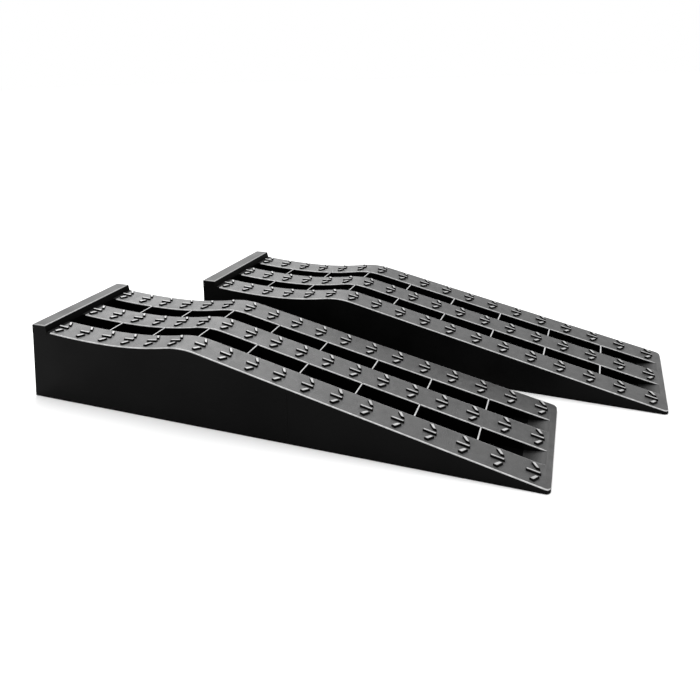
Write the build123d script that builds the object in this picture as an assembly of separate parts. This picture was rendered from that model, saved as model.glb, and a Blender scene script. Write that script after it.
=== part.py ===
"""A pair of low-profile wheel ramps: moulded decks, bolted stop bars and rubber grip pieces.

Each ramp is drawn once in its own frame (X from the rear wall to the toe, Y across, Z up),
and then both ramps are placed beside each other around the middle of the pair.
All dimensions are in millimetres and all angles in degrees.
"""
import math
import os

from build123d import *

# overall ramp
RAMP_LENGTH = 1163.0
RAMP_WIDTH = 290.0
TOE_THICKNESS = 8.0
TOE_CORNER_RADIUS = 10.0
BASE_GAP = 1.0

# side shape of the treads, from the stop bar to the toe
INCLINE_ANGLE = 11.97
CREST_X = 405.0
CREST_RADIUS = 210.0
CRADLE_EXIT_ANGLE = 9.3
CRADLE_LOW_X = 217.0
CRADLE_ENTRY_RADIUS = 1760.0

# deck plan
OUTER_TREAD_WIDTH = 67.7
SLOT_WIDTH = 44.6
SLOT_REAR_X = 46.0
SLOT_FLOOR_Z = 5.5
SCOOP_REAR_X = 1108.0
SCOOP_FRONT_X = 1152.0
EDGE_RADIUS = 1.8

# raised grip marks on the treads: a bar along the ramp and a slanted barb on either side
MARK_FIRST_X = 61.0
MARK_PITCH = 62.95
MARK_COUNT = 18
MARK_HEIGHT = 4.0
MARK_ROOT = 1.5
MARK_BAR = ((-12.3, -2.9), (14.3, -2.9), (14.3, 2.9), (-12.3, 2.9))
MARK_BARB = ((-5.0, 24.0), (4.6, 11.0), (12.5, 11.0), (3.5, 26.0))

# cross webs in the slots and the ribs behind them
WEB_COUNT = 8
WEB_FIRST_X = 167.3
WEB_PITCH = 122.9
WEB_THICKNESS = 4.0
RIB_THICKNESS = 3.0
WALL_THICKNESS = 3.5
SKIN_THICKNESS = 4.5
CAVITY_FRONT_X = 1108.0

# witness rib on the outer walls, level with the fifth web
WITNESS_WEB = 5
WITNESS_WIDTH = 3.0
WITNESS_HEIGHT = 0.5
WITNESS_MARGIN = 11.0

# stop bar
STOP_HEIGHT = 172.0
STOP_SEAT_Z = 150.0
STOP_SEAT_THICKNESS = 5.0
STOP_FRONT_X = 42.5
STOP_TOP_FRONT_X = 38.0
STOP_GAP = 0.3
STOP_WALL = 3.5
STOP_EDGE_RADIUS = 2.0
STOP_BOSS_RADIUS = 7.0

# stop bar screws, one under each tread
SCREW_X = 20.0
SCREW_RADIUS = 2.5
SCREW_LENGTH = 19.0
SCREW_HEAD_RADIUS = 5.0
SCREW_HEAD_HEIGHT = 3.2
SCREW_DRIVE_ACROSS = 4.0
SCREW_DRIVE_DEPTH = 1.8
FIT_CLEARANCE = 0.05

# rubber grip strips under the slots and the grip pad under the toe
GRIP_THICKNESS = 3.0
GRIP_SIDE_GAP = 0.4
GRIP_REAR_X = 10.0
GRIP_FRONT_X = 1096.0
GRIP_GROOVE_WIDTH = 3.0
GRIP_GROOVE_DEPTH = 1.2
GRIP_GROOVE_PITCH = 12.0
TOE_PAD_REAR_X = 1114.0
TOE_PAD_FRONT_X = 1140.0
TOE_PAD_HALF_WIDTH = 125.0

# rivets that hold the grip strips to the slot floors
RIVET_BAYS = (0, 2, 4, 6, 7)
RIVET_RADIUS = 2.5
RIVET_HEAD_RADIUS = 6.0
RIVET_HEAD_HEIGHT = 1.4
RIVET_RECESS = 0.8
RIVET_TOP_RADIUS = 4.2
RIVET_TOP_HEIGHT = 1.5

# how the second ramp stands beside the first
SECOND_RAMP_AHEAD = 227.8
SECOND_RAMP_ASIDE = 376.5
SECOND_RAMP_TURN = -2.26

HALF_WIDTH = RAMP_WIDTH / 2
SLOT_CENTRE_Y = HALF_WIDTH - OUTER_TREAD_WIDTH - SLOT_WIDTH / 2
MIDDLE_TREAD_WIDTH = RAMP_WIDTH - 2 * OUTER_TREAD_WIDTH - 2 * SLOT_WIDTH
OUTER_TREAD_CENTRE_Y = HALF_WIDTH - OUTER_TREAD_WIDTH / 2
TREADS = (
    (-OUTER_TREAD_CENTRE_Y, OUTER_TREAD_WIDTH),
    (0.0, MIDDLE_TREAD_WIDTH),
    (OUTER_TREAD_CENTRE_Y, OUTER_TREAD_WIDTH),
)
WEB_XS = [WEB_FIRST_X + WEB_PITCH * index for index in range(WEB_COUNT)]
RIVET_XS = [WEB_FIRST_X + WEB_PITCH * (bay - 0.5) for bay in RIVET_BAYS]


def block(x_range, y_range, z_range):
    """Return a box that fills the three given ranges."""
    size = [high - low for low, high in (x_range, y_range, z_range)]
    middle = [(high + low) / 2 for low, high in (x_range, y_range, z_range)]
    return Pos(*middle) * Box(*size)


def upright_pin(x, y, radius, z_low, z_high):
    """Return a vertical cylinder between two heights."""
    return Pos(x, y, (z_low + z_high) / 2) * Cylinder(radius, z_high - z_low)


# ---- side shape ------------------------------------------------------------------------
INCLINE_SLOPE = math.tan(math.radians(INCLINE_ANGLE))
CREST_FRONT_X = CREST_X + CREST_RADIUS * math.sin(math.radians(INCLINE_ANGLE))
CREST_FRONT_Z = TOE_THICKNESS + INCLINE_SLOPE * (RAMP_LENGTH - CREST_FRONT_X)
CREST_CENTRE_Z = CREST_FRONT_Z - CREST_RADIUS * math.cos(math.radians(INCLINE_ANGLE))
CREST_REAR_X = CREST_X - CREST_RADIUS * math.sin(math.radians(CRADLE_EXIT_ANGLE))
CREST_REAR_Z = CREST_CENTRE_Z + CREST_RADIUS * math.cos(math.radians(CRADLE_EXIT_ANGLE))
CRADLE_EXIT_RADIUS = (CREST_REAR_X - CRADLE_LOW_X) / math.sin(math.radians(CRADLE_EXIT_ANGLE))
CRADLE_LOW_Z = CREST_REAR_Z - CRADLE_EXIT_RADIUS * (1 - math.cos(math.radians(CRADLE_EXIT_ANGLE)))


def tread_height(x):
    """Return the height of the tread surface at a distance x from the rear wall."""
    if x >= CREST_FRONT_X:
        return TOE_THICKNESS + INCLINE_SLOPE * (RAMP_LENGTH - x)
    if x >= CREST_REAR_X:
        return CREST_CENTRE_Z + math.sqrt(CREST_RADIUS**2 - (x - CREST_X) ** 2)
    radius = CRADLE_EXIT_RADIUS if x >= CRADLE_LOW_X else CRADLE_ENTRY_RADIUS
    return CRADLE_LOW_Z + radius - math.sqrt(radius**2 - (x - CRADLE_LOW_X) ** 2)


def crest_point(angle, drop):
    """Return the point of the crest with the given rise angle, lowered square to the surface."""
    radius = CREST_RADIUS - drop
    turn = math.radians(angle)
    return (CREST_X - radius * math.sin(turn), CREST_CENTRE_Z + radius * math.cos(turn))


def cradle_point(radius, x, drop):
    """Return the point of a cradle arc at x, lowered square to the surface."""
    lowered = radius + drop
    return (x, CRADLE_LOW_Z + radius - math.sqrt(lowered**2 - (x - CRADLE_LOW_X) ** 2))


def tread_section(drop, rear_x, front_x, bottom_z):
    """Return the upright face under the tread line, with the line lowered by drop."""
    entry = cradle_point(CRADLE_ENTRY_RADIUS, rear_x, drop)
    entry_middle = cradle_point(CRADLE_ENTRY_RADIUS, (rear_x + CRADLE_LOW_X) / 2, drop)
    lowest = cradle_point(CRADLE_ENTRY_RADIUS, CRADLE_LOW_X, drop)
    crest_rear = crest_point(CRADLE_EXIT_ANGLE, drop)
    rise_middle_x = (CRADLE_LOW_X + crest_rear[0]) / 2
    exit_middle = cradle_point(CRADLE_EXIT_RADIUS, rise_middle_x, drop)
    crest_top = crest_point(0, drop)
    crest_front = crest_point(-INCLINE_ANGLE, drop)
    front = (front_x, crest_front[1] - INCLINE_SLOPE * (front_x - crest_front[0]))
    outline = (
        ThreePointArc(entry, entry_middle, lowest)
        + ThreePointArc(lowest, exit_middle, crest_rear)
        + ThreePointArc(crest_rear, crest_top, crest_front)
        + Polyline(crest_front, front, (front_x, bottom_z), (rear_x, bottom_z), entry)
    )
    return Plane.XZ * make_face(outline)


def across(section, y_middle, width):
    """Extrude an upright section across the ramp, centred on y_middle."""
    return Pos(0, y_middle, 0) * extrude(section, width / 2, both=True)


# ---- moulded deck ----------------------------------------------------------------------
def deck_block():
    """Return the outside shape of the deck: rear seat, cradle, crest, incline and toe."""
    body = across(tread_section(0, STOP_FRONT_X, RAMP_LENGTH, BASE_GAP), 0, RAMP_WIDTH)
    seat = block((0, STOP_FRONT_X), (-HALF_WIDTH, HALF_WIDTH), (BASE_GAP, STOP_SEAT_Z))
    body = body + seat
    toe_corners = body.edges().filter_by(Axis.Z).group_by(Axis.X)[-1]
    body = fillet(toe_corners, TOE_CORNER_RADIUS)
    long_edges = []
    for edge in body.edges():
        box = edge.bounding_box()
        on_side = abs(abs(edge.center().Y) - HALF_WIDTH) < FIT_CLEARANCE
        is_flat = box.size.Y < FIT_CLEARANCE
        is_top = box.min.Z > TOE_THICKNESS - FIT_CLEARANCE and box.size.X > CREST_RADIUS / 10
        in_front = box.min.X > STOP_FRONT_X - FIT_CLEARANCE
        if on_side and is_flat and is_top and in_front:
            long_edges.append(edge)
    return fillet(long_edges, EDGE_RADIUS)


def slot_cuts():
    """Return the two long slots, whose floors curve up to the treads near the toe."""
    front_z = tread_height(SCOOP_FRONT_X)
    reach = SCOOP_FRONT_X - SCOOP_REAR_X
    rise = front_z - SLOT_FLOOR_Z
    radius = (reach**2 + rise**2) / (2 * rise)
    middle_z = SLOT_FLOOR_Z + radius - math.sqrt(radius**2 - (reach / 2) ** 2)
    outline = Polyline(
        (SCOOP_FRONT_X, front_z),
        (SCOOP_FRONT_X, STOP_HEIGHT),
        (SLOT_REAR_X, STOP_HEIGHT),
        (SLOT_REAR_X, SLOT_FLOOR_Z),
        (SCOOP_REAR_X, SLOT_FLOOR_Z),
    ) + ThreePointArc(
        (SCOOP_REAR_X, SLOT_FLOOR_Z),
        (SCOOP_REAR_X + reach / 2, middle_z),
        (SCOOP_FRONT_X, front_z),
    )
    section = Plane.XZ * make_face(outline)
    return [across(section, side * SLOT_CENTRE_Y, SLOT_WIDTH) for side in (-1, 1)]


def rib_plates():
    """Return the cross ribs that stay standing inside the hollow treads."""
    half_pitch = WEB_PITCH / 2
    plates = [block((STOP_FRONT_X, SLOT_REAR_X), (-HALF_WIDTH, HALF_WIDTH), (0, STOP_HEIGHT))]
    for index in range(2 * WEB_COUNT + 1):
        middle = WEB_FIRST_X - half_pitch + half_pitch * index
        x_range = (middle - RIB_THICKNESS / 2, middle + RIB_THICKNESS / 2)
        plates.append(block(x_range, (-HALF_WIDTH, HALF_WIDTH), (0, STOP_HEIGHT)))
    return plates


def tread_cavities():
    """Return the hollows under the three treads, open at the base and divided by ribs."""
    cavities = []
    seat_top = STOP_SEAT_Z - STOP_SEAT_THICKNESS
    for middle, width in TREADS:
        inner = width - 2 * WALL_THICKNESS
        section = tread_section(SKIN_THICKNESS, STOP_FRONT_X, CAVITY_FRONT_X, 0)
        y_range = (middle - inner / 2, middle + inner / 2)
        rear = block((WALL_THICKNESS, STOP_FRONT_X), y_range, (0, seat_top))
        cavities.append(across(section, middle, inner) + rear)
    return cavities


def web_plates():
    """Return the thin cross webs of both slots, with rounded tops level with the treads."""
    plates = []
    for x in WEB_XS:
        round_centre = tread_height(x) - WEB_THICKNESS / 2
        for side in (-1, 1):
            middle = side * SLOT_CENTRE_Y
            y_range = (middle - SLOT_WIDTH / 2, middle + SLOT_WIDTH / 2)
            x_range = (x - WEB_THICKNESS / 2, x + WEB_THICKNESS / 2)
            plate = block(x_range, y_range, (SLOT_FLOOR_Z, round_centre))
            rounded = Rot(90, 0, 0) * Cylinder(WEB_THICKNESS / 2, SLOT_WIDTH)
            plates.append(plate + Pos(x, middle, round_centre) * rounded)
    return plates


def witness_ribs():
    """Return the shallow upright ribs on the two outer walls."""
    x = WEB_XS[WITNESS_WEB - 1]
    x_range = (x - WITNESS_WIDTH / 2, x + WITNESS_WIDTH / 2)
    z_range = (WITNESS_MARGIN, tread_height(x) - WITNESS_MARGIN)
    ribs = []
    for side in (-1, 1):
        y_range = sorted((side * HALF_WIDTH, side * (HALF_WIDTH + WITNESS_HEIGHT)))
        ribs.append(block(x_range, y_range, z_range))
    return ribs


def grip_marks():
    """Return the raised marks, rooted in the treads and level with each other along them."""
    lifted = tread_section(-MARK_HEIGHT, STOP_FRONT_X, RAMP_LENGTH, 0)
    lowered = tread_section(MARK_ROOT, STOP_FRONT_X, RAMP_LENGTH, 0)
    layer = across(lifted, 0, RAMP_WIDTH) - across(lowered, 0, RAMP_WIDTH)
    far_barb = list(MARK_BARB)
    near_barb = [(x, -y) for x, y in far_barb]
    marks = []
    for outline in (list(MARK_BAR), far_barb, near_barb):
        prism = extrude(make_face(Polyline(*outline, close=True)), STOP_HEIGHT)
        for middle, _ in TREADS:
            for index in range(MARK_COUNT):
                x = MARK_FIRST_X + MARK_PITCH * index
                marks.append((Pos(x, middle, 0) * prism) & layer)
    return marks


def deck_recesses():
    """Return what is let into the underside: strip grooves, toe pocket, screw and rivet holes."""
    cuts = []
    for side in (-1, 1):
        middle = side * SLOT_CENTRE_Y
        y_range = (middle - SLOT_WIDTH / 2, middle + SLOT_WIDTH / 2)
        x_range = (GRIP_REAR_X - GRIP_SIDE_GAP, GRIP_FRONT_X + GRIP_SIDE_GAP)
        cuts.append(block(x_range, y_range, (0, GRIP_THICKNESS)))
        for x in RIVET_XS:
            cuts.append(upright_pin(x, middle, RIVET_RADIUS + FIT_CLEARANCE, 0, SLOT_FLOOR_Z))
    toe_x = (TOE_PAD_REAR_X - GRIP_SIDE_GAP, TOE_PAD_FRONT_X + GRIP_SIDE_GAP)
    toe_half = TOE_PAD_HALF_WIDTH + GRIP_SIDE_GAP
    cuts.append(block(toe_x, (-toe_half, toe_half), (0, GRIP_THICKNESS)))
    seat_low = STOP_SEAT_Z - STOP_SEAT_THICKNESS
    for middle, _ in TREADS:
        hole = SCREW_RADIUS + FIT_CLEARANCE
        cuts.append(upright_pin(SCREW_X, middle, hole, seat_low, STOP_SEAT_Z))
    return cuts


def make_deck():
    """Return the one-piece moulded deck of a ramp."""
    cavities = [cavity - rib_plates() for cavity in tread_cavities()]
    deck = deck_block() - slot_cuts() - cavities
    deck = deck + web_plates() + witness_ribs() + grip_marks()
    return deck - deck_recesses()


# ---- stop bar and its screws -----------------------------------------------------------
def make_stop_bar():
    """Return the hollow stop bar that sits on the rear seat."""
    foot_x = STOP_FRONT_X - STOP_GAP
    foot_top = tread_height(STOP_FRONT_X)
    section = Plane.XZ * make_face(
        Polyline(
            (0, STOP_SEAT_Z),
            (foot_x, STOP_SEAT_Z),
            (foot_x, foot_top),
            (STOP_TOP_FRONT_X, STOP_HEIGHT),
            (0, STOP_HEIGHT),
            close=True,
        )
    )
    bar = across(section, 0, RAMP_WIDTH)
    bar = fillet(bar.faces().sort_by(Axis.Z)[-1].edges(), STOP_EDGE_RADIUS)
    pocket_half = HALF_WIDTH - STOP_WALL
    pocket_x = (STOP_WALL, STOP_TOP_FRONT_X - STOP_WALL)
    pocket = block(pocket_x, (-pocket_half, pocket_half), (STOP_SEAT_Z, STOP_HEIGHT - STOP_WALL))
    for middle, _ in TREADS:
        web = (middle - STOP_BOSS_RADIUS, middle + STOP_BOSS_RADIUS)
        pocket = pocket - block(pocket_x, web, (STOP_SEAT_Z, STOP_HEIGHT))
    bar = bar - pocket
    for middle, _ in TREADS:
        top = STOP_SEAT_Z - STOP_SEAT_THICKNESS + SCREW_LENGTH + FIT_CLEARANCE
        bar = bar - upright_pin(SCREW_X, middle, SCREW_RADIUS + FIT_CLEARANCE, STOP_SEAT_Z, top)
    return bar


def make_stop_screws():
    """Return the screws that come up through the seat into the stop bar."""
    head_top = STOP_SEAT_Z - STOP_SEAT_THICKNESS
    screws = []
    for middle, _ in TREADS:
        shank = upright_pin(SCREW_X, middle, SCREW_RADIUS, head_top, head_top + SCREW_LENGTH)
        head = upright_pin(SCREW_X, middle, SCREW_HEAD_RADIUS, head_top - SCREW_HEAD_HEIGHT, head_top)
        head = fillet(head.faces().sort_by(Axis.Z)[0].edges(), SCREW_HEAD_HEIGHT / 3)
        drive_z = head_top - SCREW_HEAD_HEIGHT
        drive = Pos(SCREW_X, middle, drive_z) * extrude(
            RegularPolygon(SCREW_DRIVE_ACROSS / 2, 6), SCREW_DRIVE_DEPTH
        )
        screws.append(shank + head - drive)
    return Compound(children=screws)


# ---- rubber grips and rivets -----------------------------------------------------------
def grip_grooves(x_range, y_range):
    """Return shallow cross grooves for the underside of a rubber piece."""
    count = int((x_range[1] - x_range[0]) / GRIP_GROOVE_PITCH) - 1
    grooves = []
    for index in range(1, count + 1):
        x = x_range[0] + GRIP_GROOVE_PITCH * index
        groove_x = (x, x + GRIP_GROOVE_WIDTH)
        if all(abs(x - rivet) > RIVET_HEAD_RADIUS + 2 * GRIP_GROOVE_WIDTH for rivet in RIVET_XS):
            grooves.append(block(groove_x, y_range, (0, GRIP_GROOVE_DEPTH)))
    return grooves


def make_grip_strip(side):
    """Return the rubber strip under one slot, with counterbored rivet holes."""
    middle = side * SLOT_CENTRE_Y
    half = SLOT_WIDTH / 2 - GRIP_SIDE_GAP
    x_range = (GRIP_REAR_X, GRIP_FRONT_X)
    y_range = (middle - half, middle + half)
    strip = block(x_range, y_range, (0, GRIP_THICKNESS))
    strip = strip - grip_grooves(x_range, y_range)
    bore = RIVET_RECESS + RIVET_HEAD_HEIGHT
    cuts = []
    for x in RIVET_XS:
        cuts.append(upright_pin(x, middle, RIVET_RADIUS + FIT_CLEARANCE, bore, GRIP_THICKNESS))
        cuts.append(upright_pin(x, middle, RIVET_HEAD_RADIUS + FIT_CLEARANCE, 0, bore))
    return strip - cuts


def make_toe_pad():
    """Return the rubber pad let in under the toe."""
    x_range = (TOE_PAD_REAR_X, TOE_PAD_FRONT_X)
    y_range = (-TOE_PAD_HALF_WIDTH, TOE_PAD_HALF_WIDTH)
    pad = block(x_range, y_range, (0, GRIP_THICKNESS))
    return pad - grip_grooves(x_range, y_range)


def make_rivets(side):
    """Return the rivets that hold one grip strip to its slot floor."""
    middle = side * SLOT_CENTRE_Y
    rivets = []
    for x in RIVET_XS:
        head_top = RIVET_RECESS + RIVET_HEAD_HEIGHT
        head = upright_pin(x, middle, RIVET_HEAD_RADIUS, RIVET_RECESS, head_top)
        shank = upright_pin(x, middle, RIVET_RADIUS, head_top, SLOT_FLOOR_Z)
        top = upright_pin(x, middle, RIVET_TOP_RADIUS, SLOT_FLOOR_Z, SLOT_FLOOR_Z + RIVET_TOP_HEIGHT)
        top = chamfer(top.faces().sort_by(Axis.Z)[-1].edges(), RIVET_TOP_HEIGHT / 2)
        rivets.append(head + shank + top)
    return Compound(children=rivets)


# ---- both ramps ------------------------------------------------------------------------
def ramp_pieces():
    """Return every piece of one ramp in the ramp's own frame, by name."""
    return {
        "deck": make_deck(),
        "stop_bar": make_stop_bar(),
        "stop_bar_screws": make_stop_screws(),
        "grip_strip_near": make_grip_strip(-1),
        "grip_strip_far": make_grip_strip(1),
        "grip_rivets_near": make_rivets(-1),
        "grip_rivets_far": make_rivets(1),
        "toe_grip_pad": make_toe_pad(),
    }


def export_pair():
    """Place both ramps around the middle of the pair and write one STEP file per node."""
    pieces = ramp_pieces()
    first = Location((0, 0, 0))
    second = Location((SECOND_RAMP_AHEAD, SECOND_RAMP_ASIDE, 0), (0, 0, SECOND_RAMP_TURN))
    stands = {"ramp_a": first, "ramp_b": second}
    bars = [stand * pieces["stop_bar"] for stand in stands.values()]
    decks = [stand * pieces["deck"] for stand in stands.values()]
    box = Compound(children=bars + decks).bounding_box()
    to_middle = Location((-box.center().X, -box.center().Y, 0))
    os.makedirs("parts", exist_ok=True)
    for ramp, stand in stands.items():
        for name, piece in pieces.items():
            export_step(to_middle * stand * piece, f"parts/{ramp}_{name}.step")


export_pair()
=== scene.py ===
"""Looks for a pair of moulded wheel ramps: rounded decks, raised grip marks, plastic, rubber, steel.

Sizes are in metres. A ramp's own frame has X from its rear wall to its toe, Y across and Z up;
ramp_stand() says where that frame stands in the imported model.
"""
import math

import bmesh
import bpy
from mathutils import Matrix, Vector


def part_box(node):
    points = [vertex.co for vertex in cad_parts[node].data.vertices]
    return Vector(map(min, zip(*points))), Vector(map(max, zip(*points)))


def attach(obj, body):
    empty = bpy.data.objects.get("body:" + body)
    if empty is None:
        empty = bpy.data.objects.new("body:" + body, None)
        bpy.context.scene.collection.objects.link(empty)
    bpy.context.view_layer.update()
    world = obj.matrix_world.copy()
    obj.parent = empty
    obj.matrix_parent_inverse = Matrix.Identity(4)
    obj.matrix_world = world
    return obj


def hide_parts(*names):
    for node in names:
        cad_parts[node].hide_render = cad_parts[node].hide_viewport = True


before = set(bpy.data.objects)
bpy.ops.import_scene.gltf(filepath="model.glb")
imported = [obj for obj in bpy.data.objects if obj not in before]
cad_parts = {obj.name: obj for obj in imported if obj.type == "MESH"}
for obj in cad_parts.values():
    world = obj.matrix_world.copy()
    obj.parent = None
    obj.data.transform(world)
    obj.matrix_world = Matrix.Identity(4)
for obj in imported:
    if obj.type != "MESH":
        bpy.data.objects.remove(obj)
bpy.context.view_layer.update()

deck_low, deck_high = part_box("ramp_a_deck")
bar_low, bar_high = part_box("ramp_a_stop_bar")
strip_low, strip_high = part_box("ramp_a_grip_strip_near")
pad_low, pad_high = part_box("ramp_a_toe_grip_pad")

RAMPS = ("ramp_a", "ramp_b")

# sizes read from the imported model
MIDDLE_Y = (bar_low.y + bar_high.y) / 2
RAMP_LENGTH = deck_high.x - deck_low.x
BASE_Z = deck_low.z
SEAT_Z = bar_low.z
BAR_CENTRE_X = (bar_low.x + bar_high.x) / 2 - deck_low.x
BAR_FOOT_X = bar_high.x - deck_low.x
SLOT_CENTRE_Y = MIDDLE_Y - (strip_low.y + strip_high.y) / 2
GRIP_TOP_Z = strip_high.z
STRIP_REAR_X = strip_low.x - deck_low.x
STRIP_FRONT_X = strip_high.x - deck_low.x
PAD_REAR_X = pad_low.x - deck_low.x
PAD_FRONT_X = pad_high.x - deck_low.x
PAD_HALF_WIDTH = (pad_high.y - pad_low.y) / 2

# deck plan
GRIP_SIDE_GAP = 0.0004
RAMP_WIDTH = 0.290
HALF_WIDTH = RAMP_WIDTH / 2
SLOT_WIDTH = strip_high.y - strip_low.y + 2 * GRIP_SIDE_GAP
SLOT_REAR_X = 0.046
SLOT_FLOOR_Z = 0.0055
SCOOP_REAR_X = 1.108
SCOOP_FRONT_X = 1.152
TREAD_REAR_GAP = 0.0005
TREAD_REAR_X = BAR_FOOT_X + TREAD_REAR_GAP
TREADS = (
    (-HALF_WIDTH, -SLOT_CENTRE_Y - SLOT_WIDTH / 2),
    (-SLOT_CENTRE_Y + SLOT_WIDTH / 2, SLOT_CENTRE_Y - SLOT_WIDTH / 2),
    (SLOT_CENTRE_Y + SLOT_WIDTH / 2, HALF_WIDTH),
)

# side shape of the treads
TOE_THICKNESS = 0.008
INCLINE = math.radians(11.97)
CREST_X = 0.405
CREST_RADIUS = 0.210
CRADLE_EXIT = math.radians(9.3)
CRADLE_LOW_X = 0.217
CRADLE_ENTRY_RADIUS = 1.760
CREST_FRONT_X = CREST_X + CREST_RADIUS * math.sin(INCLINE)
CREST_REAR_X = CREST_X - CREST_RADIUS * math.sin(CRADLE_EXIT)
CREST_FRONT_Z = TOE_THICKNESS + math.tan(INCLINE) * (RAMP_LENGTH - CREST_FRONT_X)
CREST_CENTRE_Z = CREST_FRONT_Z - CREST_RADIUS * math.cos(INCLINE)
CREST_REAR_Z = CREST_CENTRE_Z + CREST_RADIUS * math.cos(CRADLE_EXIT)
CRADLE_EXIT_RADIUS = (CREST_REAR_X - CRADLE_LOW_X) / math.sin(CRADLE_EXIT)
CRADLE_LOW_Z = CREST_REAR_Z - CRADLE_EXIT_RADIUS * (1 - math.cos(CRADLE_EXIT))

# rounding of the moulding
OUTER_EDGE_RADIUS = 0.0018
SLOT_EDGE_RADIUS = 0.0018
EDGE_STEPS = 4
REAR_CORNER_RADIUS = 0.001
TOE_CORNER_RADIUS = 0.010
CORNER_STEPS = 6
DRAFT = 0.0004
CURVE_STEP = 0.006
SCOOP_STEPS = 8

# heights between which the painted shade on a scoop fades from dark to light
SCOOP_DARK_Z = 0.0057
SCOOP_LIGHT_Z = 0.0088

# closest that stations, corners and points of the deck's mesh may come before they count as one
STATION_GAP = DRAFT / 10
MERGE_GAP = DRAFT / 50
CORNER_GAP = DRAFT / 100

# how far a face of the deck looks up, and an edge to the side too, to count as one of these
EDGE_LEAST_UP = 0.12
EDGE_LEAST_LEAN = 0.1
FLAT_LEAST_UP = 0.95
WEB_TOP_LEAST_UP = 0.7

# stop bar, whose rounded edges look up by an amount between the last two
BAR_TOP_Z = bar_high.z
BAR_TOP_FRONT_X = 0.038
BAR_EDGE_RADIUS = 0.0026
BAR_EDGE_STEPS = 4
BAR_EDGE_LEAST_UP = 0.5
BAR_EDGE_MOST_UP = 0.999

# front of the strip of tread before the stop bar, which has the painted shade of the walls as the
# bar's shadow
BAR_SHADOW_FRONT_X = 0.053

# webs across the slots and hollows under the treads
WEB_COUNT = 8
WEB_FIRST_X = 0.1673
WEB_PITCH = 0.1229
WEB_XS = [WEB_FIRST_X + WEB_PITCH * index for index in range(WEB_COUNT)]
WEB_HALF = 0.002
WEB_ARC_STEPS = 4
RIB_COUNT = 2 * WEB_COUNT + 1
RIB_XS = [WEB_FIRST_X + WEB_PITCH * (index - 1) / 2 for index in range(RIB_COUNT)]
RIB_HALF = 0.0015
WALL = 0.0035
SKIN = 0.0045
SEAT_SKIN = 0.005
HOLLOW_FRONT_X = 1.108

# shallow upright rib on the outer walls, level with the fifth web
WITNESS_WEB = 5
WITNESS_X = WEB_XS[WITNESS_WEB - 1]
WITNESS_HALF = 0.0015
WITNESS_HEIGHT = 0.0005
WITNESS_MARGIN = 0.011

# raised grip marks on the treads: a short bar along the ramp and a slanted barb on either side
MARK_FIRST_X = 0.061
MARK_PITCH = 0.06295
MARK_COUNT = 18
MARK_HEIGHT = 0.0040
MARK_ROOT = 0.0004
MARK_CORNER = 0.0012
MARK_BAR = ((-0.0123, -0.0029), (0.0143, -0.0029), (0.0143, 0.0029), (-0.0123, 0.0029))
MARK_BARB = ((-0.0050, 0.0240), (0.0046, 0.0110), (0.0125, 0.0110), (0.0035, 0.0260))
MARK_LAYERS = ((0.0, -MARK_ROOT), (0.0, 0.0022), (0.0005, 0.0033), (0.0013, MARK_HEIGHT))
MARK_TOP_LEAST_UP = 0.9

# angles, in degrees, above which a piece's edges are shaded sharp
MOULDING_SHARP = 32
MARK_SHARP = 50


# ---- deck ------------------------------------------------------------------------------
def tread_height(x):
    """Height of the tread surface at x."""
    if x >= CREST_FRONT_X:
        return TOE_THICKNESS + math.tan(INCLINE) * (RAMP_LENGTH - x)
    if x >= CREST_REAR_X:
        return CREST_CENTRE_Z + math.sqrt(CREST_RADIUS**2 - (x - CREST_X) ** 2)
    radius = CRADLE_EXIT_RADIUS if x >= CRADLE_LOW_X else CRADLE_ENTRY_RADIUS
    return CRADLE_LOW_Z + radius - math.sqrt(radius**2 - (x - CRADLE_LOW_X) ** 2)


def corner_inset(reach, radius):
    """How far a rounded corner draws the outline in, at a distance reach past its tangent."""
    return radius - math.sqrt(radius**2 - min(reach, radius) ** 2) if reach > 0 else 0.0


def outer_half_width(x):
    """Half the deck's width at x, drawn in at the rounded rear and toe corners."""
    rear = corner_inset(REAR_CORNER_RADIUS - x, REAR_CORNER_RADIUS)
    toe = corner_inset(x - RAMP_LENGTH + TOE_CORNER_RADIUS, TOE_CORNER_RADIUS)
    return HALF_WIDTH - rear - toe


def web_stations(web_x):
    """Stations over one web: its two drafted faces and its rounded top."""
    top = tread_height(web_x)
    stations = []
    for side in (-1, 1):
        stations.append((web_x + side * (WEB_HALF + DRAFT), SLOT_FLOOR_Z))
        for step in range(WEB_ARC_STEPS):
            turn = math.pi / 2 * step / WEB_ARC_STEPS
            x = web_x + side * WEB_HALF * math.cos(turn)
            stations.append((x, top - WEB_HALF + WEB_HALF * math.sin(turn)))
    stations.append((web_x, top))
    return stations


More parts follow.
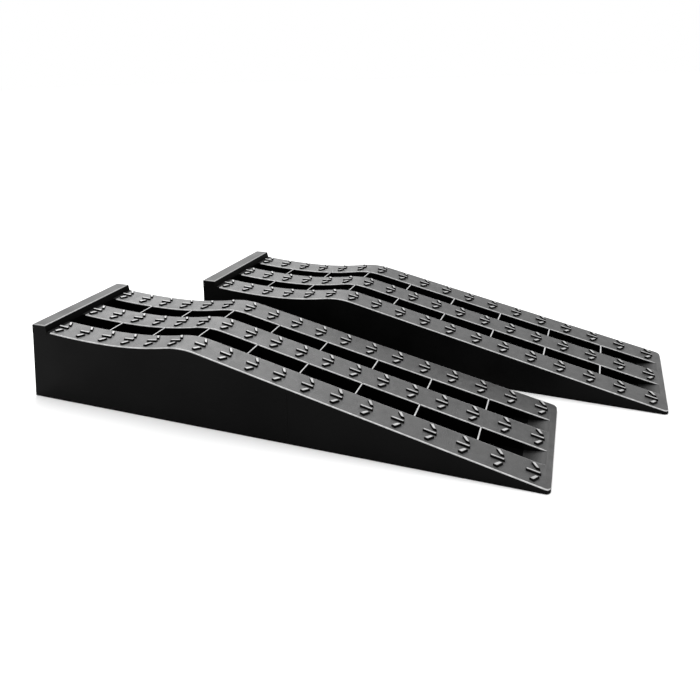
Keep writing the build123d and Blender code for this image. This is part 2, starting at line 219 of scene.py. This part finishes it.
def deck_stations():
    """(x, surface height, slot floor height) along the ramp, wherever a section differs."""
    floors = {}
    for web_x in WEB_XS:
        floors.update(web_stations(web_x))
    for step in range(CORNER_STEPS + 1):
        turn = math.pi / 2 * step / CORNER_STEPS
        floors[REAR_CORNER_RADIUS * (1 - math.cos(turn))] = None
        floors[RAMP_LENGTH - TOE_CORNER_RADIUS * (1 - math.sin(turn))] = None
    for rib_x in RIB_XS:
        floors[rib_x - RIB_HALF] = None
        floors[rib_x + RIB_HALF] = None
    for x in (TREAD_REAR_X, SLOT_REAR_X):
        floors[x] = None
        floors[x + DRAFT] = None
    for x in (WALL, BAR_SHADOW_FRONT_X, HOLLOW_FRONT_X):
        floors[x] = None
    for x in (STRIP_REAR_X, STRIP_FRONT_X, PAD_REAR_X, PAD_FRONT_X):
        floors[x] = None
    for x in (-WITNESS_HALF - DRAFT, -WITNESS_HALF, WITNESS_HALF, WITNESS_HALF + DRAFT):
        floors[WITNESS_X + x] = None
    for step in range(SCOOP_STEPS + 1):
        floors[SCOOP_REAR_X + (SCOOP_FRONT_X - SCOOP_REAR_X) * step / SCOOP_STEPS] = None
    for step in range(int((CREST_FRONT_X - SLOT_REAR_X) / CURVE_STEP) + 2):
        x = CREST_FRONT_X - CURVE_STEP * step
        if x > SLOT_REAR_X + CURVE_STEP / 2:
            floors.setdefault(x, None)
    stations = []
    for x in sorted(floors):
        if stations and x - stations[-1][0] < STATION_GAP:
            continue
        surface = SEAT_Z if x <= TREAD_REAR_X else tread_height(x)
        floor = floors[x] or slot_floor(x)
        floor = surface if x <= SLOT_REAR_X else min(floor, surface)
        stations.append((x, surface, floor))
    return stations


def slot_floor(x):
    """Height at x of the slot floor, of the web that stands there, or of the scoop at its end."""
    for web_x in WEB_XS:
        if abs(x - web_x) <= WEB_HALF:
            rise = math.sqrt(WEB_HALF**2 - (x - web_x) ** 2)
            return tread_height(web_x) - WEB_HALF + rise
    if x <= SCOOP_REAR_X:
        return SLOT_FLOOR_Z
    if x >= SCOOP_FRONT_X:
        return tread_height(x)
    reach = SCOOP_FRONT_X - SCOOP_REAR_X
    rise = tread_height(SCOOP_FRONT_X) - SLOT_FLOOR_Z
    radius = (reach**2 + rise**2) / (2 * rise)
    return SLOT_FLOOR_Z + radius - math.sqrt(radius**2 - (x - SCOOP_REAR_X) ** 2)


def rounded_edge(y, top, radius, inward):
    """Points round a tread's long edge, from its wall up to its surface."""
    points = []
    for step in range(EDGE_STEPS + 1):
        turn = math.pi / 2 * step / EDGE_STEPS
        inset = radius * (1 - math.cos(turn))
        drop = radius * (1 - math.sin(turn))
        points.append((y + inward * inset, top - drop))
    return points


def outer_wall(x, side, surface):
    """Points up an outer wall, with the shallow witness rib where it stands."""
    half = outer_half_width(x)
    proud = WITNESS_HEIGHT if abs(x - WITNESS_X) <= WITNESS_HALF else 0.0
    low = min(WITNESS_MARGIN, surface / 3)
    high = max(surface - WITNESS_MARGIN, surface * 2 / 3)
    return [
        (side * half, BASE_Z),
        (side * half, low),
        (side * (half + proud), low + WITNESS_HEIGHT),
        (side * (half + proud), high - WITNESS_HEIGHT),
        (side * half, high),
    ]


def deck_profile(x, surface, floor):
    """Points across the top of the deck at x, from the near base to the far base."""
    slot_radius = min(SLOT_EDGE_RADIUS, (surface - floor) / 2)
    outer_radius = OUTER_EDGE_RADIUS if x > TREAD_REAR_X else DRAFT
    points = outer_wall(x, -1, surface)
    for start, end in TREADS:
        near_side = start == -HALF_WIDTH
        far_side = end == HALF_WIDTH
        start = -outer_half_width(x) if near_side else start
        end = outer_half_width(x) if far_side else end
        near_radius = outer_radius if near_side else slot_radius
        far_radius = outer_radius if far_side else slot_radius
        points += rounded_edge(start, surface, near_radius, 1)
        points += reversed(rounded_edge(end, surface, far_radius, -1))
        if not far_side:
            points += [(end, floor), (end + SLOT_WIDTH, floor)]
    return points + list(reversed(outer_wall(x, 1, surface)))


def underside_lines():
    """The lines along the underside, by their distance from the ramp's middle."""
    lines = [-PAD_HALF_WIDTH - GRIP_SIDE_GAP, PAD_HALF_WIDTH + GRIP_SIDE_GAP]
    for start, end in TREADS:
        lines += [start, start + WALL, end - WALL, end]
    return sorted(lines)


def underside_y(line, x):
    """Where a line of the underside runs at x, drawn in with the rounded corners."""
    fixed = PAD_HALF_WIDTH + GRIP_SIDE_GAP
    if abs(line) <= fixed:
        return line
    share = (abs(line) - fixed) / (HALF_WIDTH - fixed)
    return math.copysign(fixed + share * (outer_half_width(x) - fixed), line)


def hollow_ceiling(x, middle_x):
    """Height of a tread's hollow at x, or None where a rib, the seat's front or the toe is solid."""
    if middle_x < WALL or middle_x > HOLLOW_FRONT_X:
        return None
    if middle_x < TREAD_REAR_X:
        return SEAT_Z - SEAT_SKIN
    if middle_x < SLOT_REAR_X or any(abs(middle_x - rib_x) < RIB_HALF for rib_x in RIB_XS):
        return None
    return tread_height(x) - SKIN


def underside_height(x, middle_x, middle_y):
    """Height of the underside at x, in the cell whose middle is given."""
    in_hollow = any(start + WALL < middle_y < end - WALL for start, end in TREADS)
    in_slot = abs(abs(middle_y) - SLOT_CENTRE_Y) < SLOT_WIDTH / 2
    if in_hollow and hollow_ceiling(x, middle_x) is not None:
        return hollow_ceiling(x, middle_x)
    if in_slot and STRIP_REAR_X < middle_x < STRIP_FRONT_X:
        return GRIP_TOP_Z
    if abs(middle_y) < PAD_HALF_WIDTH and PAD_REAR_X < middle_x < PAD_FRONT_X:
        return GRIP_TOP_Z
    return BASE_Z


def add_face(bm, points):
    """Add one face through the given points, leaving out points that repeat."""
    kept = [p for i, p in enumerate(points) if (p - points[i - 1]).length > CORNER_GAP]
    if len(kept) > 2:
        bm.faces.new([bm.verts.new(point) for point in kept])


def add_skin(bm, stations):
    """Add the outside of the deck: walls, treads, slots and webs."""
    rows = [[Vector((x, y, z)) for y, z in deck_profile(x, s, f)] for x, s, f in stations]
    for row, next_row in zip(rows, rows[1:]):
        for index in range(len(row) - 1):
            add_face(bm, [row[index], next_row[index], next_row[index + 1], row[index + 1]])
    return rows


def add_underside(bm, stations):
    """Add the underside: base rims, hollows with their ribs, and the grooves for the rubber."""
    lines = underside_lines()
    xs = [x for x, _, _ in stations]

    def cell(i, j, x):
        middle_y = (lines[j] + lines[j + 1]) / 2
        return underside_height(x, (xs[i] + xs[i + 1]) / 2, middle_y)

    def point(x, j, z):
        return Vector((x, underside_y(lines[j], x), z))

    for i in range(len(xs) - 1):
        start, end = xs[i], xs[i + 1]
        for j in range(len(lines) - 1):
            low, high = cell(i, j, start), cell(i, j, end)
            add_face(bm, [
                point(start, j, low), point(start, j + 1, low),
                point(end, j + 1, high), point(end, j, high),
            ])
            if j + 2 < len(lines):
                beside = (cell(i, j + 1, start), cell(i, j + 1, end))
                line = j + 1
                add_face(bm, [
                    point(start, line, low), point(start, line, beside[0]),
                    point(end, line, beside[1]), point(end, line, high),
                ])
            if i + 2 < len(xs):
                ahead = cell(i + 1, j, end)
                add_face(bm, [
                    point(end, j, high), point(end, j + 1, high),
                    point(end, j + 1, ahead), point(end, j, ahead),
                ])
    return [[point(x, j, BASE_Z) for j in range(len(lines))] for x in (xs[0], xs[-1])]


def deck_finish(face):
    """The plastic a face of the deck shows: tread, an edge or web top with a painted highlight, a
    slot in painted shade, a scoop whose painted shade fades out, or a wall in painted shade.

    The strip of tread in front of the stop bar has no grain and gets the walls' painted shade, as
    the bar's shadow.
    """
    centre = face.calc_center_median()
    up = face.normal.z
    in_slot = abs(abs(centre.y) - SLOT_CENTRE_Y) < SLOT_WIDTH / 2 + DRAFT
    on_web = in_slot and any(abs(centre.x - web_x) < WEB_HALF for web_x in WEB_XS)
    on_edge = (
        abs(face.normal.y) > EDGE_LEAST_LEAN
        and centre.x > BAR_SHADOW_FRONT_X
        and centre.z > tread_height(centre.x) - OUTER_EDGE_RADIUS
    )
    # rounded edges and web tops get a painted highlight
    if (up > EDGE_LEAST_UP and on_edge) or (up > WEB_TOP_LEAST_UP and on_web):
        return EDGE_PAINTED_HIGHLIGHT
    # deep slots get a near-black painted shade
    if in_slot and centre.x < SCOOP_REAR_X and centre.z > GRIP_TOP_Z:
        return SLOT_PAINTED_SHADE
    # faces that do not look straight up, and the strip before the stop bar as its shadow, get
    # painted shade
    if up < FLAT_LEAST_UP or centre.x < BAR_SHADOW_FRONT_X:
        return PAINTED_SHADE_PLASTIC
    # the scoops get painted shade that fades out as they rise; the treads keep their own plastic
    return SCOOP_PAINTED_SHADE if in_slot and centre.x < SCOOP_FRONT_X else TREAD_PLASTIC


def make_deck(ramp):
    """The one-piece moulded deck of a ramp as one closed mesh."""
    bm = bmesh.new()
    stations = deck_stations()
    rows = add_skin(bm, stations)
    rear_base, toe_base = add_underside(bm, stations)
    add_face(bm, rows[0] + list(reversed(rear_base)))
    add_face(bm, rows[-1] + list(reversed(toe_base)))
    bmesh.ops.remove_doubles(bm, verts=bm.verts, dist=MERGE_GAP)
    bmesh.ops.recalc_face_normals(bm, faces=bm.faces)
    for face in bm.faces:
        face.material_index = DECK_FINISHES.index(deck_finish(face))
    deck = finished_piece(bm, f"{ramp}_moulded_deck", ramp, MOULDING_SHARP)
    for finish in DECK_FINISHES:
        deck.data.materials.append(finish)
    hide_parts(f"{ramp}_deck")


# ---- stop bar --------------------------------------------------------------------------
def bar_finish(face):
    """The plastic a face of the stop bar shows: its grained top, an edge with a painted highlight,
    or a side in painted shade.
    """
    # the top keeps its plastic, the rounded edges get a painted highlight and the sides painted
    # shade
    if face.normal.z > BAR_EDGE_MOST_UP:
        return BAR_PLASTIC
    return BAR_EDGE_PAINTED_HIGHLIGHT if face.normal.z > BAR_EDGE_LEAST_UP else PAINTED_SHADE_PLASTIC


def make_stop_bar(ramp):
    """The stop bar as one closed solid with rounded top edges."""
    section = (
        (0.0, SEAT_Z),
        (BAR_FOOT_X, SEAT_Z),
        (BAR_FOOT_X, tread_height(TREAD_REAR_X)),
        (BAR_TOP_FRONT_X, BAR_TOP_Z),
        (0.0, BAR_TOP_Z),
    )
    bm = bmesh.new()
    near = [bm.verts.new((x, -HALF_WIDTH, z)) for x, z in section]
    far = [bm.verts.new((x, HALF_WIDTH, z)) for x, z in section]
    bm.faces.new(near)
    bm.faces.new(list(reversed(far)))
    for index in range(len(section)):
        bm.faces.new([near[index - 1], far[index - 1], far[index], near[index]])
    bmesh.ops.recalc_face_normals(bm, faces=bm.faces)
    top_edges = [edge for edge in bm.edges if min(v.co.z for v in edge.verts) > BAR_TOP_Z - DRAFT]
    bmesh.ops.bevel(
        bm, geom=top_edges, affect="EDGES", offset=BAR_EDGE_RADIUS,
        segments=BAR_EDGE_STEPS, profile=0.5,
    )
    for face in bm.faces:
        face.material_index = BAR_FINISHES.index(bar_finish(face))
    bar = finished_piece(bm, f"{ramp}_moulded_stop_bar", ramp, MOULDING_SHARP)
    for finish in BAR_FINISHES:
        bar.data.materials.append(finish)
    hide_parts(f"{ramp}_stop_bar")


# ---- grip marks ------------------------------------------------------------------------
def drawn_in(corners, depth):
    """A convex outline with every side moved inwards by depth."""
    kept = []
    for index, corner in enumerate(corners):
        here = Vector(corner)
        to_last = (Vector(corners[index - 1]) - here).normalized()
        to_next = (Vector(corners[(index + 1) % len(corners)]) - here).normalized()
        half_sine = math.sqrt((1 - to_last.dot(to_next)) / 2)
        kept.append(here + (to_last + to_next).normalized() * depth / half_sine)
    return kept


def rounded_outline(corners, radius):
    """An outline with three points at every corner, which round it off."""
    outline = []
    for index, here in enumerate(corners):
        to_last = (corners[index - 1] - here).normalized() * radius
        to_next = (corners[(index + 1) % len(corners)] - here).normalized() * radius
        outline += [here + to_last, here + (to_last + to_next) / 4, here + to_next]
    return outline


def add_stroke(bm, mark_x, tread_y, corners):
    """Add one raised stroke of a mark, standing on the tread with sides that slope in."""
    loops = []
    for depth, rise in MARK_LAYERS:
        loop = []
        for spot in rounded_outline(drawn_in(corners, depth), MARK_CORNER):
            x = mark_x + spot.x
            loop.append(bm.verts.new((x, tread_y + spot.y, tread_height(x) + rise)))
        loops.append(loop)
    for loop, next_loop in zip(loops, loops[1:]):
        for index in range(len(loop)):
            after = (index + 1) % len(loop)
            bm.faces.new([loop[index], loop[after], next_loop[after], next_loop[index]])
    bm.faces.new(list(reversed(loops[0])))
    bm.faces.new(loops[-1])


def make_grip_marks(ramp):
    """All the raised marks of a ramp, eighteen along each tread."""
    bm = bmesh.new()
    for start, end in TREADS:
        tread_y = (start + end) / 2
        for index in range(MARK_COUNT):
            mark_x = MARK_FIRST_X + MARK_PITCH * index
            add_stroke(bm, mark_x, tread_y, MARK_BAR)
            for side in (-1, 1):
                barb = [(x, side * y) for x, y in MARK_BARB]
                add_stroke(bm, mark_x, tread_y, barb)
    bmesh.ops.recalc_face_normals(bm, faces=bm.faces)
    # mark tops get a painted highlight and their sides painted shade
    for face in bm.faces:
        is_top = face.normal.z > MARK_TOP_LEAST_UP
        face.material_index = MARK_FINISHES.index(MARK_TOP_PAINTED_HIGHLIGHT if is_top else PAINTED_SHADE_PLASTIC)
    marks = finished_piece(bm, f"{ramp}_grip_marks", ramp, MARK_SHARP)
    for finish in MARK_FINISHES:
        marks.data.materials.append(finish)


# ---- placing ---------------------------------------------------------------------------
def plan_centre(node):
    """Middle of a node's box, seen from above."""
    low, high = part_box(node)
    return Vector(((low.x + high.x) / 2, (low.y + high.y) / 2, 0))


def ramp_stand(ramp):
    """Where a ramp's own frame stands, found from its stop bar and its toe pad."""
    bar = plan_centre(f"{ramp}_stop_bar")
    pad = plan_centre(f"{ramp}_toe_grip_pad")
    turn = math.atan2(pad.y - bar.y, pad.x - bar.x)
    to_bar = Matrix.Translation((-BAR_CENTRE_X, 0, 0))
    return Matrix.Translation(bar) @ Matrix.Rotation(turn, 4, "Z") @ to_bar


def finished_piece(bm, name, ramp, sharp_degrees):
    """Turn a bmesh in a ramp's own frame into an object that rides on that ramp."""
    mesh = bpy.data.meshes.new(name)
    bm.to_mesh(mesh)
    bm.free()
    mesh.transform(ramp_stand(ramp))
    mesh.shade_smooth()
    mesh.set_sharp_from_angle(angle=math.radians(sharp_degrees))
    piece = bpy.data.objects.new(name, mesh)
    bpy.context.scene.collection.objects.link(piece)
    normals = piece.modifiers.new("even_shading", "WEIGHTED_NORMAL")
    normals.keep_sharp = True
    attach(piece, ramp)
    return piece


# ---- materials -------------------------------------------------------------------------
def new_material(name, colour, roughness, specular):
    """A plain material and its node tree, ready for grain to be added."""
    material = bpy.data.materials.new(name)
    material.use_nodes = True
    shader = material.node_tree.nodes["Principled BSDF"]
    shader.inputs["Base Color"].default_value = (colour, colour, colour, 1)
    shader.inputs["Roughness"].default_value = roughness
    shader.inputs["Specular IOR Level"].default_value = specular
    return material


NOISE_LOW = 0.3
NOISE_HIGH = 0.7
COLOUR_DETAIL = 4
ROUGHNESS_DETAIL = 3
BUMP_DETAIL = 2


def noise(material, scale, detail, low, high):
    """A noise pattern in the object's own space, spread between two values."""
    nodes, links = material.node_tree.nodes, material.node_tree.links
    place = nodes.new("ShaderNodeTexCoord")
    pattern = nodes.new("ShaderNodeTexNoise")
    pattern.inputs["Scale"].default_value = scale
    pattern.inputs["Detail"].default_value = detail
    spread = nodes.new("ShaderNodeMapRange")
    spread.inputs["From Min"].default_value = NOISE_LOW
    spread.inputs["From Max"].default_value = NOISE_HIGH
    spread.inputs["To Min"].default_value = low
    spread.inputs["To Max"].default_value = high
    links.new(place.outputs["Object"], pattern.inputs["Vector"])
    links.new(pattern.outputs["Fac"], spread.inputs["Value"])
    return spread.outputs["Result"]


def vary_colour(material, scale, low, high):
    """Let the grey of a material drift between two values."""
    links = material.node_tree.links
    grey = noise(material, scale, COLOUR_DETAIL, low, high)
    mix = material.node_tree.nodes.new("ShaderNodeCombineColor")
    for channel in ("Red", "Green", "Blue"):
        links.new(grey, mix.inputs[channel])
    shader = material.node_tree.nodes["Principled BSDF"]
    links.new(mix.outputs["Color"], shader.inputs["Base Color"])


def shade_by_height(material, dark_z, light_z, dark, light):
    """Let the grey of a material rise from one value to another between two heights."""
    nodes, links = material.node_tree.nodes, material.node_tree.links
    place = nodes.new("ShaderNodeTexCoord")
    parts = nodes.new("ShaderNodeSeparateXYZ")
    spread = nodes.new("ShaderNodeMapRange")
    spread.inputs["From Min"].default_value = dark_z
    spread.inputs["From Max"].default_value = light_z
    spread.inputs["To Min"].default_value = dark
    spread.inputs["To Max"].default_value = light
    mix = nodes.new("ShaderNodeCombineColor")
    links.new(place.outputs["Object"], parts.inputs["Vector"])
    links.new(parts.outputs["Z"], spread.inputs["Value"])
    for channel in ("Red", "Green", "Blue"):
        links.new(spread.outputs["Result"], mix.inputs[channel])
    links.new(mix.outputs["Color"], nodes["Principled BSDF"].inputs["Base Color"])


def vary_roughness(material, scale, low, high):
    """Let the gloss of a material drift between two values."""
    gloss = noise(material, scale, ROUGHNESS_DETAIL, low, high)
    shader = material.node_tree.nodes["Principled BSDF"]
    material.node_tree.links.new(gloss, shader.inputs["Roughness"])


def add_bump(material, layers):
    """Add bump made of (scale, depth in metres) noise layers, one on top of another."""
    nodes, links = material.node_tree.nodes, material.node_tree.links
    below = None
    for scale, depth in layers:
        bump = nodes.new("ShaderNodeBump")
        bump.inputs["Strength"].default_value = 1.0
        bump.inputs["Distance"].default_value = depth
        links.new(noise(material, scale, BUMP_DETAIL, 0, 1), bump.inputs["Height"])
        if below is not None:
            links.new(below, bump.inputs["Normal"])
        below = bump.outputs["Normal"]
    links.new(below, nodes["Principled BSDF"].inputs["Normal"])


def tread_plastic():
    """Satin black plastic with a fine pebble grain, as on the treads."""
    material = new_material("tread_plastic", colour=0.026, roughness=0.5, specular=0.6)
    vary_colour(material, scale=60, low=0.018, high=0.034)
    vary_roughness(material, scale=25, low=0.38, high=0.50)
    add_bump(material, ((420, 0.00030), (1100, 0.00014)))
    return material


def edge_painted_highlight():
    """Rounded edges and web tops, smoother than the treads and made lighter as a painted highlight.
    """
    material = new_material("edge_painted_highlight", colour=0.38, roughness=0.3, specular=0.9)
    vary_colour(material, scale=140, low=0.24, high=0.42)
    vary_roughness(material, scale=90, low=0.24, high=0.38)
    add_bump(material, ((1100, 0.00004),))
    return material


def bar_edge_painted_highlight():
    """Rounded top edges of the stop bars, with a painted highlight weaker than on the edges of the
    treads.
    """
    material = new_material("bar_edge_painted_highlight", colour=0.17, roughness=0.4, specular=0.6)
    vary_colour(material, scale=140, low=0.13, high=0.21)
    vary_roughness(material, scale=90, low=0.34, high=0.46)
    add_bump(material, ((1100, 0.00004),))
    return material


def slot_painted_shade():
    """Painted shade: a near-black copy of the plastic for the deep slots, where little light
    reaches.
    """
    material = new_material("slot_painted_shade", colour=0.0006, roughness=0.7, specular=0.01)
    vary_colour(material, scale=10, low=0.0004, high=0.0010)
    vary_roughness(material, scale=14, low=0.6, high=0.8)
    add_bump(material, ((900, 0.00004),))
    return material


def painted_shade_plastic():
    """Painted shade: a nearly black copy of the smooth plastic, for the walls, the underside and the
    sides of bars and marks.
    """
    material = new_material("painted_shade_plastic", colour=0.0015, roughness=0.5, specular=0.035)
    vary_colour(material, scale=6, low=0.0010, high=0.0026)
    vary_roughness(material, scale=12, low=0.42, high=0.58)
    add_bump(material, ((900, 0.00003),))
    return material


def scoop_painted_shade():
    """Plastic of the scoops with painted shade, dark down in the slot and lightening as the floors
    curve up to the treads.
    """
    material = new_material("scoop_painted_shade", colour=0.01, roughness=0.5, specular=0.14)
    shade_by_height(material, SCOOP_DARK_Z, SCOOP_LIGHT_Z, dark=0.0008, light=0.046)
    vary_roughness(material, scale=25, low=0.42, high=0.54)
    add_bump(material, ((420, 0.00030), (1100, 0.00014)))
    return material


def mark_top_painted_highlight():
    """Tops of the raised marks, smoother than the treads and made lighter as a painted highlight."""
    material = new_material("mark_top_painted_highlight", colour=0.3, roughness=0.4, specular=0.7)
    vary_colour(material, scale=80, low=0.24, high=0.36)
    vary_roughness(material, scale=40, low=0.34, high=0.46)
    add_bump(material, ((900, 0.00006),))
    return material


def bar_plastic():
    """Finely grained plastic of the stop bars."""
    material = new_material("bar_plastic", colour=0.03, roughness=0.55, specular=0.3)
    vary_colour(material, scale=40, low=0.026, high=0.042)
    vary_roughness(material, scale=20, low=0.48, high=0.60)
    add_bump(material, ((700, 0.00008),))
    return material


def grip_rubber():
    """Dull black rubber with a dusty bloom."""
    material = new_material("grip_rubber", colour=0.02, roughness=0.85, specular=0.3)
    vary_colour(material, scale=30, low=0.014, high=0.032)
    vary_roughness(material, scale=18, low=0.75, high=0.92)
    add_bump(material, ((600, 0.00015),))
    return material


def rivet_plastic():
    """Glossier black plastic of the push rivets."""
    material = new_material("rivet_plastic", colour=0.015, roughness=0.3, specular=0.5)
    vary_colour(material, scale=90, low=0.010, high=0.020)
    vary_roughness(material, scale=60, low=0.22, high=0.36)
    add_bump(material, ((1200, 0.00003),))
    return material


def screw_steel():
    """Zinc-plated steel of the stop bar screws."""
    material = new_material("screw_steel", colour=0.6, roughness=0.3, specular=0.5)
    material.node_tree.nodes["Principled BSDF"].inputs["Metallic"].default_value = 1.0
    vary_colour(material, scale=150, low=0.50, high=0.66)
    vary_roughness(material, scale=200, low=0.22, high=0.40)
    add_bump(material, ((1500, 0.00002),))
    return material


def floor_finish():
    """Plain matt white of the studio floor."""
    return new_material("floor_white", colour=0.9, roughness=1.0, specular=0.0)


NODE_FINISHES = {
    "stop_bar_screws": screw_steel(),
    "grip_strip_near": grip_rubber(),
    "grip_strip_far": grip_rubber(),
    "toe_grip_pad": grip_rubber(),
    "grip_rivets_near": rivet_plastic(),
    "grip_rivets_far": rivet_plastic(),
}
PAINTED_SHADE_PLASTIC = painted_shade_plastic()
TREAD_PLASTIC = tread_plastic()
EDGE_PAINTED_HIGHLIGHT = edge_painted_highlight()
SLOT_PAINTED_SHADE = slot_painted_shade()
SCOOP_PAINTED_SHADE = scoop_painted_shade()
MARK_TOP_PAINTED_HIGHLIGHT = mark_top_painted_highlight()
BAR_PLASTIC = bar_plastic()
BAR_EDGE_PAINTED_HIGHLIGHT = bar_edge_painted_highlight()
DECK_FINISHES = [PAINTED_SHADE_PLASTIC, TREAD_PLASTIC, EDGE_PAINTED_HIGHLIGHT, SLOT_PAINTED_SHADE, SCOOP_PAINTED_SHADE]
BAR_FINISHES = [PAINTED_SHADE_PLASTIC, BAR_PLASTIC, BAR_EDGE_PAINTED_HIGHLIGHT]
MARK_FINISHES = [PAINTED_SHADE_PLASTIC, MARK_TOP_PAINTED_HIGHLIGHT]


def finish_nodes(ramp):
    """Give the CAD nodes that stay visible their materials."""
    for piece, finish in NODE_FINISHES.items():
        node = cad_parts[f"{ramp}_{piece}"]
        node.data.materials.clear()
        node.data.materials.append(finish)


# ---- studio ----------------------------------------------------------------------------
CAMERA_FROM_RAMP = Vector((1.22673, -1.25477, 0.7521))
CAMERA_FORWARD = (-0.34650, 0.93700, -0.04445)
CAMERA_RIGHT = (0.93794, 0.34533, -0.03191)
CAMERA_LENS = 32.545
CAMERA_SENSOR = 36.0
CAMERA_SHIFT_Y = -0.3639
CAMERA_REACH = 200.0
FLOOR_SIZE = 60.0
FLOOR_SQUARES = 8
WORLD_STRENGTH = 1.0
WHITE = (1, 1, 1, 1)

# name, azimuth, elevation, strength and spread of each sun, with the angles in degrees
SUNS = (
    ("overhead", 0, 88, 1.6, 40),
    ("key", -30, 50, 1.1, 20),
    ("behind", -38, 34, 0.9, 30),
)


def make_camera():
    """The camera, level with the first ramp's toe on its near side, looking across both ramps."""
    data = bpy.data.cameras.new("camera")
    data.lens = CAMERA_LENS
    data.sensor_width = CAMERA_SENSOR
    data.shift_y = CAMERA_SHIFT_Y
    data.clip_end = CAMERA_REACH
    camera = bpy.data.objects.new("camera", data)
    right = Vector(CAMERA_RIGHT).normalized()
    back = -Vector(CAMERA_FORWARD).normalized()
    up = back.cross(right).normalized()
    turn = Matrix((right, up, back)).transposed()
    place = Vector((deck_low.x, MIDDLE_Y, 0)) + CAMERA_FROM_RAMP
    camera.matrix_world = Matrix.Translation(place) @ turn.to_4x4()
    bpy.context.scene.collection.objects.link(camera)
    bpy.context.scene.camera = camera


def make_floor():
    """A wide pale floor under the ramps."""
    bm = bmesh.new()
    bmesh.ops.create_grid(
        bm, x_segments=FLOOR_SQUARES, y_segments=FLOOR_SQUARES, size=FLOOR_SIZE / 2,
    )
    mesh = bpy.data.meshes.new("studio_floor")
    bm.to_mesh(mesh)
    bm.free()
    mesh.materials.append(floor_finish())
    floor = bpy.data.objects.new("studio_floor", mesh)
    bpy.context.scene.collection.objects.link(floor)


def make_sun(name, azimuth, elevation, strength, spread):
    """Soft parallel light from a direction: azimuth 0 is +Y and 90 is +X."""
    data = bpy.data.lights.new(name, "SUN")
    data.energy = strength
    data.angle = math.radians(spread)
    light = bpy.data.objects.new(name, data)
    turn = math.radians(azimuth)
    rise = math.radians(elevation)
    level = math.cos(rise)
    away = Vector((math.sin(turn) * level, math.cos(turn) * level, math.sin(rise)))
    light.rotation_euler = (-away).to_track_quat("-Z", "Y").to_euler()
    bpy.context.scene.collection.objects.link(light)


def make_world():
    """Even white light from all round."""
    world = bpy.data.worlds.new("studio")
    world.use_nodes = True
    background = world.node_tree.nodes["Background"]
    background.inputs["Color"].default_value = WHITE
    background.inputs["Strength"].default_value = WORLD_STRENGTH
    bpy.context.scene.world = world


bpy.context.scene.view_settings.view_transform = "Standard"
make_camera()
make_floor()
make_world()
for sun in SUNS:
    make_sun(*sun)
for ramp in RAMPS:
    make_deck(ramp)
    make_stop_bar(ramp)
    make_grip_marks(ramp)
    finish_nodes(ramp)
